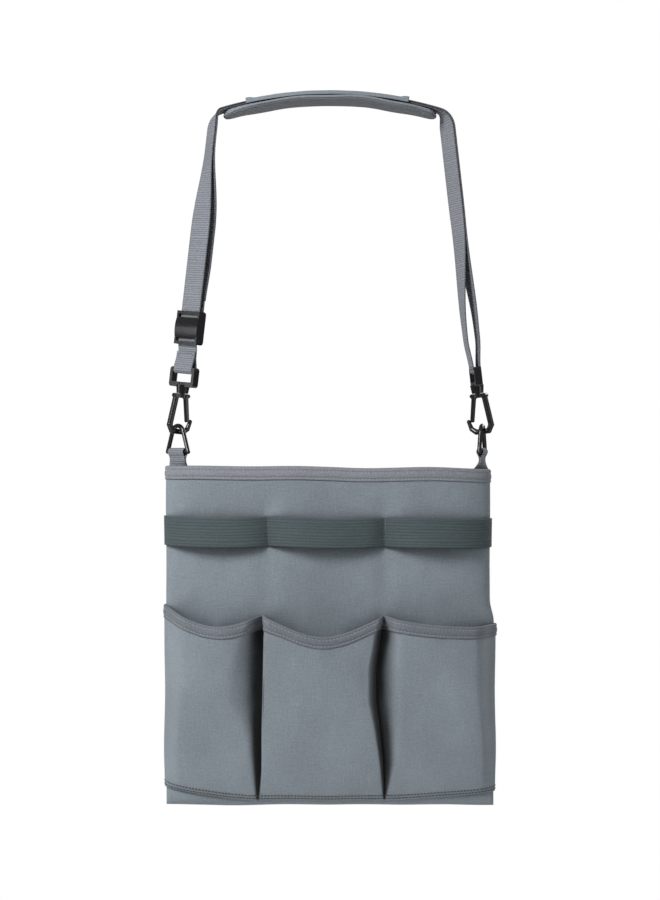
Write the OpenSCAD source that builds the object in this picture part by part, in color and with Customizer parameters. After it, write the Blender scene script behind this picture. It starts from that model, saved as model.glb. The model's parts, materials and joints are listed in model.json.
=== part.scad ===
// Canvas garden tool bag on a padded webbing shoulder strap.
// Millimetres. +Z is up, +X is to the right of someone facing the pockets, and the
// pockets face -Y. The origin is the middle of the shoulder pad's underside, where
// the bag hangs from a shoulder or a peg.

/* [Bag] */
// Width across the side seams
bag_w = 316; // [306:1:322]
// Height from the mouth to the bottom seam
bag_h = 326; // [318:1:332]
// Depth of the open mouth
mouth_d = 38; // [36:1:40]
// Thickness of the canvas
canvas_t = 1.4; // [1.2:0.1:1.5]
// Height of the binding tape at the mouth and on the pockets
tape_h = 11.5; // [10:0.5:12]
// Thickness of one layer of binding tape
tape_t = 0.8; // [0.6:0.1:0.9]

/* [Pockets and loops] */
// How far the open pockets stand out at their mouths
pocket_bulge = 24; // [20:1:26]
// Height of the elastic band
elastic_h = 28; // [26:1:30]
// Thickness of the elastic band
elastic_t = 1.4; // [1:0.1:1.6]
// How far each elastic loop stands out
elastic_bow = 12; // [10:0.5:13]

/* [Strap] */
// Width of the strap webbing
web_w = 25; // [24:0.2:25.2]
// Thickness of the strap webbing
web_t = 1.3; // [1.1:0.1:1.4]
// Drop from the shoulder to where the hooks carry the rings
hang_drop = 313.4; // [300:0.2:330]
// Half the distance between the two hooks
hook_x = 146; // [145:0.5:147]

/* [Shoulder pad] */
// Radius that the pad's underside is curved to
pad_r = 360; // [355:1:365]
// Half the pad's length
pad_half = 102; // [98:1:102]
// Width of the pad in the middle
pad_w = 45; // [44:1:48]
// Thickness of the pad's foam
foam_t = 5.2; // [5:0.1:5.4]

/* [Hardware] */
// Wire radius of the D-rings
ring_wire = 2.1; // [1.9:0.1:2.1]
// Wire radius at the bottom of the snap hooks
hook_wire = 2.6; // [2.4:0.1:2.7]
// Turn of the left hook, the left ring and the left webbing about the vertical
left_turns = [-38, 48, 42]; // [-90:1:90]
// Turn of the right hook, the right ring and the right webbing about the vertical
right_turns = [28, -76, 85]; // [-90:1:90]

/* [Hidden] */
$fn = 48;

canvas_colour = [0.51, 0.54, 0.57];
tape_colour = [0.50, 0.50, 0.53];
webbing_colour = [0.55, 0.56, 0.59];
elastic_colour = [0.30, 0.35, 0.35];
plastic_colour = [0.07, 0.07, 0.08];
lining_colour = [0.42, 0.43, 0.46];
foam_colour = [0.75, 0.75, 0.72];

// Directions of the two sides
LEFT = -1;
RIGHT = 1;
Y = [0, 1, 0];

// The bag hangs on its rings below the hooks
ring_h = 25;
ring_lift = hook_wire + ring_wire + 0.8;
bar_z = -hang_drop + ring_lift - ring_h;
mouth_z = bar_z - 14.6;
bottom_z = mouth_z - bag_h;
half_w = bag_w / 2;
back_y = 13;

// ---------- general shapes ----------

// A sheet between two grids of points, given as columns of rows
module sheet(outer, inner, closed = false) {
    m = len(outer);
    n = len(outer[0]);
    last = closed ? m - 1 : m - 2;
    function p(i, j) = (i % m) * n + j;
    function q(i, j) = m * n + (i % m) * n + j;
    quads = concat(
        [for (i = [0:last], j = [0:n - 2]) [p(i, j), p(i + 1, j), p(i + 1, j + 1), p(i, j + 1)]],
        [for (i = [0:last], j = [0:n - 2]) [q(i, j), q(i, j + 1), q(i + 1, j + 1), q(i + 1, j)]],
        [for (i = [0:last]) [p(i + 1, 0), p(i, 0), q(i, 0), q(i + 1, 0)]],
        [for (i = [0:last]) [p(i, n - 1), p(i + 1, n - 1), q(i + 1, n - 1), q(i, n - 1)]],
        closed ? [] : [for (j = [0:n - 2]) [p(0, j), p(0, j + 1), q(0, j + 1), q(0, j)]],
        closed ? [] : [for (j = [0:n - 2])
            [p(m - 1, j + 1), p(m - 1, j), q(m - 1, j), q(m - 1, j + 1)]]);
    polyhedron(
        points = [for (grid = [outer, inner], column = grid) each column],
        faces = [for (f = quads) each [[f[0], f[1], f[2]], [f[0], f[2], f[3]]]]);
}

// A round bar with ball ends, a hair larger than the bar so that they meet cleanly
ball_skin = 0.06;
module rod(a, b, ra, rb) {
    d = b - a;
    translate(a) {
        rotate([0, acos(d.z / norm(d)), atan2(d.y, d.x)]) cylinder(h = norm(d), r1 = ra, r2 = rb);
        sphere(ra + ball_skin);
    }
    translate(b) sphere(rb + ball_skin);
}

// A rectangle with round corners, centred
module round_rect(w, h, r) {
    square([w - 2 * r, h], center = true);
    square([w, h - 2 * r], center = true);
    for (x = [-1, 1], y = [-1, 1]) translate([x * (w / 2 - r), y * (h / 2 - r)]) circle(r);
}

// Stands a flat outline up in the XZ plane, with its thickness centred on Y = 0
module upright(t) {
    translate([0, t / 2, 0]) rotate([90, 0, 0]) linear_extrude(t) children();
}

function unit(v) = v / norm(v);
function ease(t) = let (c = min(max(t, 0), 1)) c * c * (3 - 2 * c);
function blend(a, b, t) = a + (b - a) * ease(t);

// ---------- strap path ----------

// The limbs lean in from the hooks to the ends of the shoulder arch
shoulder_x = 112;
shoulder_z = -14;
lean = atan((hook_x - shoulder_x) / (hang_drop + shoulder_z));
limb_len = norm([hook_x - shoulder_x, hang_drop + shoulder_z]);
cover_t = 1.2;
pad_t = foam_t + 2 * cover_t;
layer_gap = 0.25;
web_pitch = web_t / 2 + layer_gap;
arch_r = pad_r + pad_t + 2 * web_pitch + 0.1;
arch_half = 16.3;
limb_top = limb_len - 9;

// Heights along a limb, counted from where the hook carries its ring
bar_s = 59.5;
bar_r = 2.3;
fold_r = bar_r + layer_gap + web_t / 2;
slider_s = 100;
tail_s = 77;
straight_s = 198;

function side_up(side) = [-side * sin(lean), 0, cos(lean)];
function side_in(side) = [-side * cos(lean), 0, -sin(lean)];
function hook_point(side) = [side * hook_x, 0, -hang_drop];

// Turn of the webbing's width direction at height s on each side
function left_web_turn(s) = blend(left_turns[2], 70, (s - straight_s) / 94);
function right_web_turn(s) = 180 - blend(right_turns[2], 62, (s - 80) / 144);
function web_turn(side, s) = side == LEFT ? left_web_turn(s) : right_web_turn(s);

// A place on the strap: middle, width direction and inward normal
function place(mid, inward, turn, off) =
    let (normal = sin(turn) * inward + cos(turn) * Y)
    [mid + off * normal, cos(turn) * inward - sin(turn) * Y, normal];
function limb_place(side, s, off) =
    place(hook_point(side) + s * side_up(side), side_in(side), web_turn(side, s), off);
function arch_place(a, off) =
    place([arch_r * sin(a), 0, arch_r * cos(a) - pad_r], [-sin(a), 0, -cos(a)], 90, off);

// Round the end of the pad, from the limb's top to the arch's end
function meet(a, da, b, db) =
    a + da * ((b.x - a.x) * db.z - (b.z - a.z) * db.x) / (da.x * db.z - da.z * db.x);
function corner_place(side, t, off) =
    let (
        a = hook_point(side) + limb_top * side_up(side),
        c = arch_place(side * arch_half, 0)[0],
        b = meet(a, side_up(side), c, [cos(arch_half), 0, -side * sin(arch_half)]),
        mid = a * (1 - t) * (1 - t) + b * 2 * t * (1 - t) + c * t * t,
        dir = unit((b - a) * (1 - t) + (c - b) * t))
    place(mid, -side * [dir.z, 0, -dir.x], blend(web_turn(side, limb_top), 90, t), off);

// Webbing folded round a bar at height s, from the outer face (0) to the inner (180)
function fold_place(side, s, r, a, depth = 0) =
    let (base = limb_place(side, s, depth), up = side_up(side), n = base[2])
    [base[0] - r * cos(a) * n - r * sin(a) * up, base[1], cos(a) * n + sin(a) * up];

module webbing(places, w = web_w) {
    sheet([for (c = places) [c[0] - c[1] * w / 2 - c[2] * web_t / 2,
                             c[0] + c[1] * w / 2 - c[2] * web_t / 2]],
          [for (c = places) [c[0] - c[1] * w / 2 + c[2] * web_t / 2,
                             c[0] + c[1] * w / 2 + c[2] * web_t / 2]]);
}

// How far each layer lies from the middle of the pair
function near_bar(s, far) = blend(fold_r, far, (s - bar_s) / 14);
function bowed(s) = s < 100 ? blend(fold_r, 5.8, (s - bar_s) / 30) : blend(5.8, web_pitch, (s - 105) / 95);
inner_stand = 7.6;
function flipped(c) = [c[0], c[1], -c[2]];

module strap_outer_run() {
    color(webbing_colour) webbing(concat(
        [for (s = [tail_s, 74, 70, 66, 63]) flipped(limb_place(LEFT, s, -near_bar(s, web_pitch)))],
        [for (a = [0:30:180]) flipped(fold_place(LEFT, bar_s, fold_r, a))],
        [for (s = [63, 66, 70, 74, tail_s]) limb_place(LEFT, s, near_bar(s, web_pitch))],
        [for (s = [80, 83, 86, 89, 120, 160, straight_s])
            limb_place(LEFT, s, blend(web_pitch, -web_pitch, (s - tail_s) / 11))],
        [for (s = [210:12:282]) limb_place(LEFT, s, -web_pitch)],
        [for (t = [0:0.2:0.99]) corner_place(LEFT, t, -web_pitch)],
        [for (a = [-1:0.125:1]) arch_place(a * arch_half, -web_pitch)],
        [for (t = [0.8:-0.2:0.01]) corner_place(RIGHT, t, -web_pitch)],
        [for (s = [limb_top:-12:70]) limb_place(RIGHT, s, -bowed(s))],
        [for (a = [0:30:180]) fold_place(RIGHT, bar_s, fold_r, a)]));
}

module strap_inner_run() {
    color(webbing_colour) webbing(concat(
        [for (s = [130, 165, 200]) limb_place(LEFT, s, inner_stand)],
        [for (s = [214:12:286]) limb_place(LEFT, s, blend(inner_stand, web_pitch, (s - 205) / 80))],
        [for (t = [0:0.2:0.99]) corner_place(LEFT, t, web_pitch)],
        [for (a = [-1:0.125:1]) arch_place(a * arch_half, web_pitch)],
        [for (t = [0.8:-0.2:0.01]) corner_place(RIGHT, t, web_pitch)],
        [for (s = [limb_top:-12:62]) limb_place(RIGHT, s, bowed(s))],
        [limb_place(RIGHT, bar_s + 0.05, fold_r)]));
}

// ---------- shoulder pad ----------

pad_tip_w = 26;
pad_taper = 36;
function pad_side(x) = blend(pad_w / 2, pad_tip_w / 2, (abs(x) - (pad_half - pad_taper)) / pad_taper);

// Plan of the pad, drawn in from its edge
module pad_plan(inset) {
    xs = [for (k = [-1:0.0625:1]) k * (pad_half - inset)];
    side = [for (x = xs) [x, pad_side(x) - inset]];
    polygon(concat(side, [for (k = [len(side) - 1:-1:0]) [side[k].x, -side[k].y]]));
}

// A curved slab of the pad, between two heights above its underside
module pad_layer(low, high, inset, cut = 0) {
    intersection() {
        translate([0, 0, -pad_r]) rotate([90, 0, 0]) rotate([0, 0, 70]) rotate_extrude(angle = 40, $fn = 144)
            translate([pad_r + low, -pad_w]) square([high - low, 2 * pad_w]);
        translate([0, 0, -40]) linear_extrude(80) difference() {
            pad_plan(inset);
            if (cut > 0) pad_plan(cut);
        }
    }
}

module pad_bottom_cover() {
    color(lining_colour) pad_layer(0, cover_t, cover_t);
}

module pad_foam() {
    color(foam_colour) pad_layer(cover_t, cover_t + foam_t, cover_t);
}

module pad_top_cover() {
    color(canvas_colour) pad_layer(cover_t + foam_t, pad_t, cover_t);
}

module pad_edge_binding() {
    color(tape_colour) pad_layer(0, pad_t, 0, cover_t);
}

// The strip sewn over the webbing, which can slip through under it
module pad_sleeve() {
    left_x = -80;
    right_x = 75;
    strip_t = 1;
    wall = web_w / 2 + 0.6;
    flange = wall + strip_t + 4.5;
    foot = pad_r + pad_t;
    roof = arch_r + web_pitch + web_t / 2 + layer_gap;
    half = [[foot, flange], [foot + strip_t, flange], [foot + strip_t, wall + strip_t],
            [roof, wall + strip_t], [roof + strip_t, wall - 0.4]];
    under = [[roof, -(wall - 0.6)], [roof - 0.6, -wall], [foot, -wall]];
    rim = [for (k = [4:-1:0]) [half[k].x, -half[k].y]];
    color(canvas_colour) translate([0, 0, -pad_r]) rotate([90, 0, 0])
        rotate([0, 0, acos(right_x / arch_r)])
            rotate_extrude(angle = acos(left_x / arch_r) - acos(right_x / arch_r), $fn = 144)
                polygon(concat(half, rim, [for (k = [2:-1:0]) under[k]],
                               [for (c = under) [c.x, -c.y]]));
}

// ---------- hooks, rings and slider ----------

// Frame that a hook and its base are drawn in: +Z up the limb, origin at the contact
module chain(side, turn) {
    translate(hook_point(side)) rotate([0, -side * lean, 0]) rotate([0, 0, -turn]) children();
}

neck_z = 36.8;
bore_top = 44.2;
slot_z = 47.8;
stem_r = 2.5;
stem_fit = 0.08;

module swivel_base() {
    frame_w = 33;
    frame_t = 7;
    rail = 3.5;
    top_z = 62;
    difference() {
        union() {
            upright(frame_t) difference() {
                translate([0, (43 + top_z) / 2]) round_rect(frame_w, top_z - 43, 3);
                translate([0, slot_z + 15]) square([frame_w - 2 * rail, 30], center = true);
            }
            translate([0, 0, neck_z]) cylinder(h = 8, r1 = 5.6, r2 = 6.6);
            translate([0, 0, bar_s]) rotate([0, 90, 0]) cylinder(h = frame_w - 2, r = bar_r, center = true);
        }
        translate([0, 0, neck_z - 1]) cylinder(h = 12, r = stem_r + stem_fit);
        translate([0, 0, bore_top]) cylinder(h = 4, r = 4.3);
    }
}

module left_swivel_base() {
    color(plastic_colour) chain(LEFT, left_turns[2]) swivel_base();
}

module right_swivel_base() {
    color(plastic_colour) chain(RIGHT, right_turns[2]) swivel_base();
}

gate_pivot = [4.6, 33.2];
gate_tip = [8.9, 10.9];
gate_boss = 2.2;
hook_t = 6.4;

// Thick spine on -X and the gate's side on +X
module hook() {
    spine_top = [-6.6, 0, 33.6];
    spine_low = [-10.3, 0, 5.8];
    heel = [-7.2, 0, 0];
    toe = [6.2, 0, 0];
    chin = [10.4, 0, 3.2];
    nose = [12.8, 0, 10.6];
    spine_r = 2.9;
    rod(spine_top, spine_low, spine_r, spine_r);
    rod(spine_low, heel, spine_r, hook_wire);
    rod(heel, toe, hook_wire, hook_wire);
    rod(toe, chin, hook_wire, 2.4);
    rod(chin, nose, 2.4, 1.9);
    difference() {
        union() {
            translate([-1, 0, 34.4]) upright(hook_t) round_rect(17, 4, 1.9);
            cylinder(h = 36.3, r = 5);
        }
        translate([-20, -20, -1]) cube([40, 40, 33.4]);
        translate([gate_pivot.x, 0, gate_pivot.y]) rotate([90, 0, 0])
            cylinder(h = 20, r = gate_boss + 0.35, center = true);
    }
    translate([0, 0, 35]) cylinder(h = 10, r = stem_r);
    translate([0, 0, bore_top + 0.3]) cylinder(h = 2.9, r = 4);
}

module gate() {
    upright(4.6) {
        translate(gate_pivot) circle(gate_boss);
        hull($fn = 32) {
            translate(gate_pivot) circle(1.5);
            translate(gate_tip) circle(1.3);
        }
    }
}

module left_hook() {
    color(plastic_colour) chain(LEFT, left_turns[0]) hook();
}

module left_gate() {
    color(plastic_colour) chain(LEFT, left_turns[0]) gate();
}

module right_hook() {
    color(plastic_colour) chain(RIGHT, right_turns[0]) mirror([1, 0, 0]) hook();
}

module right_gate() {
    color(plastic_colour) chain(RIGHT, right_turns[0]) mirror([1, 0, 0]) gate();
}

// A three-sided ring: round top, straight flared legs and a bar for the tab
bar_half = 15.6;

module ring() {
    crown_r = 9;
    reach = norm([bar_half, ring_h - crown_r]);
    low = atan2(crown_r - ring_h, bar_half) + acos(crown_r / reach);
    shoulder = [crown_r * cos(low), 0, crown_r * sin(low) - crown_r];
    translate([0, 0, -crown_r]) rotate([90, 0, 0]) rotate([0, 0, low])
        rotate_extrude(angle = 180 - 2 * low) translate([crown_r, 0]) circle(ring_wire);
    for (side = [-1, 1])
        rod([side * shoulder.x, 0, shoulder.z], [side * bar_half, 0, -ring_h], ring_wire, ring_wire);
    rod([-bar_half, 0, -ring_h], [bar_half, 0, -ring_h], ring_wire, ring_wire);
}

module left_ring() {
    color(plastic_colour) translate([LEFT * hook_x, 0, bar_z + ring_h]) rotate([0, 0, -left_turns[1]]) ring();
}

module right_ring() {
    color(plastic_colour) translate([RIGHT * hook_x, 0, bar_z + ring_h]) rotate([0, 0, -right_turns[1]]) ring();
}

// Webbing folded round a ring's bar and sewn inside the mouth, flat on the back panel
module ring_tab(side, turn) {
    tab_w = 23;
    bore = ring_wire + 0.35;
    fold = bore + web_t;
    leg_low = bar_z - 19;
    foot_top = bar_z - 29;
    foot_low = bar_z - 52;
    slab = [tab_w - 0.6, 2 * web_t - 0.4, 0.4];
    difference() {
        union() {
            translate([side * hook_x, 0, 0]) rotate([0, 0, -turn]) {
                translate([0, 0, bar_z]) rotate([0, 90, 0]) cylinder(h = tab_w, r = fold, center = true);
                translate([-tab_w / 2, -web_t, leg_low]) cube([tab_w, 2 * web_t, bar_z - leg_low]);
            }
            hull() {
                translate([side * hook_x, 0, leg_low + 2]) rotate([0, 0, -turn]) cube(slab, center = true);
                translate([side * (hook_x - 3), back_y - web_t, foot_top - 2]) cube(slab, center = true);
            }
            translate([side * (hook_x - 3) - tab_w / 2, back_y - 2 * web_t, foot_low])
                cube([tab_w, 2 * web_t, foot_top - foot_low]);
        }
        translate([side * hook_x, 0, bar_z]) rotate([0, 0, -turn]) rotate([0, 90, 0])
            cylinder(h = tab_w + 10, r = bore, center = true);
    }
}

module left_ring_tab() {
    color(webbing_colour) ring_tab(LEFT, left_turns[1]);
}

module right_ring_tab() {
    color(webbing_colour) ring_tab(RIGHT, right_turns[1]);
}

// Slider: a convex plate and two thin bars in front, a round bar behind for the end loop
rear_bar_r = 1.5;
rear_bar_y = 3.5;

module strap_slider() {
    slider_w = 30.4;
    slider_h = 32;
    rail_t = 2.2;
    plate_h = 20;
    plate_face = -5.4;
    plate_back = -2.1;
    curve_r = 34;
    color(plastic_colour) chain(LEFT, left_turns[2]) translate([0, 0, slider_s]) {
        for (x = [-1, 1]) translate([x * (slider_w - rail_t) / 2, 0, 0]) rotate([0, 0, 90])
            upright(rail_t) translate([0.5, 0]) round_rect(9.4, slider_h, 3);
        intersection() {
            translate([0, plate_face + curve_r, 0]) rotate([0, 90, 0])
                cylinder(h = slider_w, r = curve_r, center = true, $fn = 144);
            translate([-slider_w / 2, plate_face, -plate_h / 2])
                cube([slider_w, plate_back - plate_face, plate_h]);
        }
        for (z = [-1, 1]) translate([-slider_w / 2, -4.2, z * (slider_h / 2 - 1.5) - 1.5])
            cube([slider_w, 4.2 + plate_back, 3]);
        translate([0, rear_bar_y, 0]) rotate([0, 90, 0])
            cylinder(h = slider_w - 1, r = rear_bar_r, center = true);
    }
}

// The webbing's end, round the slider's rear bar and sewn to itself
module strap_end_loop() {
    loop_r = rear_bar_r + layer_gap + web_t / 2;
    near = web_t / 2 + 0.02;
    top = slider_s + 27;
    color(webbing_colour) webbing(concat(
        [for (s = [top, slider_s + 8, slider_s + 5]) limb_place(LEFT, s, rear_bar_y - near)],
        [for (a = [-40:20:220]) fold_place(LEFT, slider_s, loop_r, a, rear_bar_y)],
        [for (s = [slider_s + 5, slider_s + 8, top])
            flipped(limb_place(LEFT, s, rear_bar_y + near))]), web_w - 0.4);
}

// ---------- bag ----------

squareness = 3.5;
foot_d = 9;
foot_part = 0.03;
foot_gap = 0.3;

// Depth of the front panel's face at a height, and its outline across the bag
function height_part(z) = min(max((z - bottom_z) / bag_h, 0), 1);
function foot_round(f) = sqrt(1 - pow(1 - min(f / foot_part, 1), 2));
function front_depth(z) = let (f = height_part(z))
    canvas_t + foot_gap + (foot_d - foot_gap) * foot_round(f) + (mouth_d - foot_d) * pow(f, 0.8);
function outline(s) = pow(max(0, 1 - pow(min(abs(s), 1), squareness)), 1 / squareness);
function front_y(x, z, off) = back_y - (front_depth(z) + off) * outline(x / (half_w + off));

// Evenly dense steps across the bag, closer together at the sides
function across(k) = sign(k) * (1 - pow(1 - abs(k), 2));
panel_steps = [for (k = [-14:14]) across(k / 14)];
function front_point(k, z, off) =
    let (x = (half_w + off) * k) [x, back_y - (front_depth(z) + off) * outline(k), z];

// Sewing presses the canvas thinner under the tape, so that the back is flat
module back_panel() {
    color(canvas_colour) difference() {
        translate([-half_w, back_y, bottom_z]) cube([bag_w, canvas_t, bag_h]);
        translate([-half_w - 1, back_y + canvas_t - tape_t, mouth_z - tape_h])
            cube([bag_w + 2, tape_t + 1, tape_h + 1]);
    }
}

module front_panel() {
    parts = [0, 0.004, 0.012, 0.024, 0.04, 0.08, 0.16, 0.27, 0.4, 0.54, 0.68, 0.8, 0.9, 1];
    zs = [for (f = parts) bottom_z + f * bag_h];
    color(canvas_colour) sheet([for (k = panel_steps) [for (z = zs) front_point(k, z, 0)]],
                               [for (k = panel_steps) [for (z = zs) front_point(k, z, -canvas_t)]]);
}

// Tape folded over the whole rim of the mouth
module mouth_binding() {
    low = mouth_z - tape_h;
    top = mouth_z + tape_t;
    rim_out = half_w + tape_t;
    rim_in = half_w - canvas_t - tape_t;
    back_out = back_y + canvas_t;
    back_in = back_y - tape_t;
    corner_in = back_y - 0.2;
    function clip(c, y) = [c.x, min(c.y, y), c.z];
    back_xs = [[rim_out, rim_in - 2], [60, 60], [-60, -60], [-rim_out, -rim_in + 2]];
    front_outer = [for (k = panel_steps) [
        front_point(k, low, tape_t), front_point(k, top, tape_t),
        clip(front_point(k, top, -canvas_t - tape_t), back_in),
        clip(front_point(k, low, -canvas_t - tape_t), back_in)]];
    front_inner = [for (k = panel_steps) [
        front_point(k, low, 0), front_point(k, mouth_z, 0),
        clip(front_point(k, mouth_z, -canvas_t), corner_in),
        clip(front_point(k, low, -canvas_t), corner_in)]];
    back_outer = [for (c = back_xs) [
        [c[0], back_out, low], [c[0], back_out, top], [c[1], back_in, top], [c[1], back_in, low]]];
    back_inner = [for (c = back_xs) let (a = sign(c[0]) * min(abs(c[0]), half_w)) [
        [a, back_out - tape_t, low], [a, back_out - tape_t, mouth_z],
        [c[1], back_y, mouth_z], [c[1], back_y, low]]];
    color(tape_colour) sheet(concat(front_outer, back_outer), concat(front_inner, back_inner), closed = true);
}

// The two vertical seams that part the elastic and the pockets
elastic_seams = [-half_w - canvas_t - 0.2, -59, 53, half_w + canvas_t + 0.2];
pocket_seams = [-half_w - canvas_t - 0.2, -64, 51, half_w + canvas_t + 0.2];
pocket_foot_seams = [-half_w - canvas_t - 0.2, -69, 52, half_w + canvas_t + 0.2];
steps = 16;

// Columns across the bag as [cell, part of the cell], denser beside the seams
columns = [for (cell = [0:2], k = [(cell == 0 ? 0 : 1):steps]) [cell, (1 - cos(180 * k / steps)) / 2]];
function seam_x(seams, c) = seams[c[0]] + (seams[c[0] + 1] - seams[c[0]]) * c[1];
function lobe(part, power) = pow(max(0, sin(180 * part)), power);

// Moves each point of a row of points sideways, square to the row seen from above
function shifted(row, d) = [for (k = [0:len(row) - 1])
    let (a = row[max(k - 1, 0)], b = row[min(k + 1, len(row) - 1)], t = unit([b.x - a.x, b.y - a.y]))
    [row[k].x - t.y * d, row[k].y + t.x * d, row[k].z]];
function turned(rows) = [for (k = [0:len(rows[0]) - 1]) [for (row = rows) row[k]]];

module elastic_band() {
    top = mouth_z - 46.5;
    sag = 1.5;
    function face(z, bow) = [for (c = columns) let (x = seam_x(elastic_seams, c), f = lobe(c[1], 0.8))
        [x, front_y(x, z, canvas_t + 0.2) - bow * f, z - sag * f]];
    rows = [for (z = [top - elastic_h, top]) face(z, elastic_bow)];
    color(elastic_colour) sheet(turned(rows), turned([for (row = rows) shifted(row, elastic_t)]));
}

// Pocket mouth and bottom seam, as heights above the bag's bottom
side_mouth = [193, 176];
seam_mouth = 185;
dips = [176, 166, 176.5];
side_foot = [19, 15];
seam_foot = 5.5;
function mouth_end(k) = bottom_z + (k == 0 ? side_mouth[0] : k == 3 ? side_mouth[1] : seam_mouth);
function foot_end(k) = bottom_z + (k == 0 ? side_foot[0] : k == 3 ? side_foot[1] : seam_foot);
function pocket_mouth_z(c) =
    let (a = mouth_end(c[0]), b = mouth_end(c[0] + 1), line = a + (b - a) * c[1],
         drop = (a + b) / 2 - bottom_z - dips[c[0]])
    line - drop * lobe(c[1], 1.2);
function pocket_foot_z(c) = let (a = foot_end(c[0]), b = foot_end(c[0] + 1))
    c[0] == 0 ? a + (b - a) * pow(c[1], 0.6) : c[0] == 2 ? b + (a - b) * pow(1 - c[1], 0.6) : a;

// One row across the pockets, at a part of their height and a lift above it
function pocket_row(part, lift = 0) = [for (c = columns)
    let (z = pocket_foot_z(c) + (pocket_mouth_z(c) - pocket_foot_z(c)) * part + lift,
         x = seam_x(pocket_foot_seams, c) * (1 - part) + seam_x(pocket_seams, c) * part,
         stand = canvas_t + 0.1 + tape_t * part + pocket_bulge * pow(part, 0.55) * lobe(c[1], 0.6))
    [x, back_y - (front_depth(z) + canvas_t + 0.2) * outline(x / (half_w + canvas_t + 0.2))
        - (stand - canvas_t) * min(1, 12 * (1 - abs(x) / (half_w + canvas_t + 0.2))), z]];

module pocket_panel() {
    rows = [for (part = [0, 0.03, 0.08, 0.16, 0.28, 0.42, 0.56, 0.7, 0.83, 0.93, 1]) pocket_row(part)];
    color(canvas_colour) sheet(turned(rows), turned([for (row = rows) shifted(row, canvas_t)]));
}

module pocket_binding() {
    low = pocket_row(0.93);
    top = pocket_row(1, tape_t);
    edge = pocket_row(1);
    color(tape_colour) sheet(
        turned([shifted(low, -tape_t), shifted(top, -tape_t),
                shifted(top, canvas_t + tape_t), shifted(low, canvas_t + tape_t)]),
        turned([low, edge, shifted(edge, canvas_t), shifted(low, canvas_t)]));
}

strap_outer_run();
strap_inner_run();
pad_bottom_cover();
pad_foam();
pad_top_cover();
pad_edge_binding();
pad_sleeve();
left_swivel_base();
right_swivel_base();
strap_slider();
strap_end_loop();
left_hook();
left_gate();
right_hook();
right_gate();
back_panel();
front_panel();
mouth_binding();
elastic_band();
pocket_panel();
pocket_binding();
left_ring_tab();
right_ring_tab();
left_ring();
right_ring();
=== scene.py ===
"""Looks of the garden tool bag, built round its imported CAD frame.

Lengths are metres in the frame's own axes: +Z is up and the pockets face -Y. Cloth is made
as grids of points, and its UV map, "cloth", is in metres along the weave.
"""

import json
import math

import bpy
import numpy as np
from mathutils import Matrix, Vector, noise


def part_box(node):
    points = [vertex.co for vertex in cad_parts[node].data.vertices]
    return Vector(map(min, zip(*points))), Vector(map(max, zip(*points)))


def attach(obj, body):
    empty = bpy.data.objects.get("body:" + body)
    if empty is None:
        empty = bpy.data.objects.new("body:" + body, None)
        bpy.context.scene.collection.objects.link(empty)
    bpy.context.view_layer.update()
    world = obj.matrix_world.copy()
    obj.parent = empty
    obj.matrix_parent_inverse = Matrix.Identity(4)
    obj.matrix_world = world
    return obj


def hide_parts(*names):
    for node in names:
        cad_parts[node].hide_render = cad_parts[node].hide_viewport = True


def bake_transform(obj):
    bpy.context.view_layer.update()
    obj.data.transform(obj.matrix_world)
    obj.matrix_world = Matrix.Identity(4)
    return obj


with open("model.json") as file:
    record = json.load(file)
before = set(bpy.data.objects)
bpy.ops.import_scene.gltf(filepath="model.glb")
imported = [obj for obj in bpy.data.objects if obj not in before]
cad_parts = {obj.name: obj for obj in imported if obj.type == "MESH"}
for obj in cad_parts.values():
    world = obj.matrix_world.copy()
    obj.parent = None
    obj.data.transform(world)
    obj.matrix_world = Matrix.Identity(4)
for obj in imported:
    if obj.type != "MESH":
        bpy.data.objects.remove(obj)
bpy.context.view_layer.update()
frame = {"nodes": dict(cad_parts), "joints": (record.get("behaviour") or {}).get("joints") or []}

MM = 0.001
CLOTH_UV = "cloth"

# ---------- sizes, from the frame ----------

front_low, front_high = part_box("front_panel")
HALF_W = (front_high[0] - front_low[0]) / 2
BACK_Y = front_high[1]
MOUTH_Z = front_high[2]
BOTTOM_Z = front_low[2]
BAG_H = MOUTH_Z - BOTTOM_Z
CANVAS_T = 1.4 * MM
MOUTH_D = BACK_Y - front_low[1] - CANVAS_T
BACK_FACE_Y = BACK_Y + CANVAS_T + 0.4 * MM
TAPE_H = 11.5 * MM
TAPE_T = 0.8 * MM
WEB_W = 25 * MM
WEB_T = 1.3 * MM

JOINTS = {joint["name"]: joint for joint in frame["joints"]}
HOOK_X, _, HOOK_Z = JOINTS["right_swivel"]["pos_m"]
BAR_Z = JOINTS["left_ring_tilt"]["pos_m"][2]
LEFT, RIGHT = -1, 1


def ease(t):
    """Smooth step from 0 to 1."""
    t = np.clip(t, 0.0, 1.0)
    return t * t * (3 - 2 * t)


def mix(a, b, t):
    """From a to b as t goes from 0 to 1, with soft ends."""
    return a + (b - a) * ease(t)


def unit(v):
    return v / np.linalg.norm(v)


# ---------- node-based materials ----------


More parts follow.
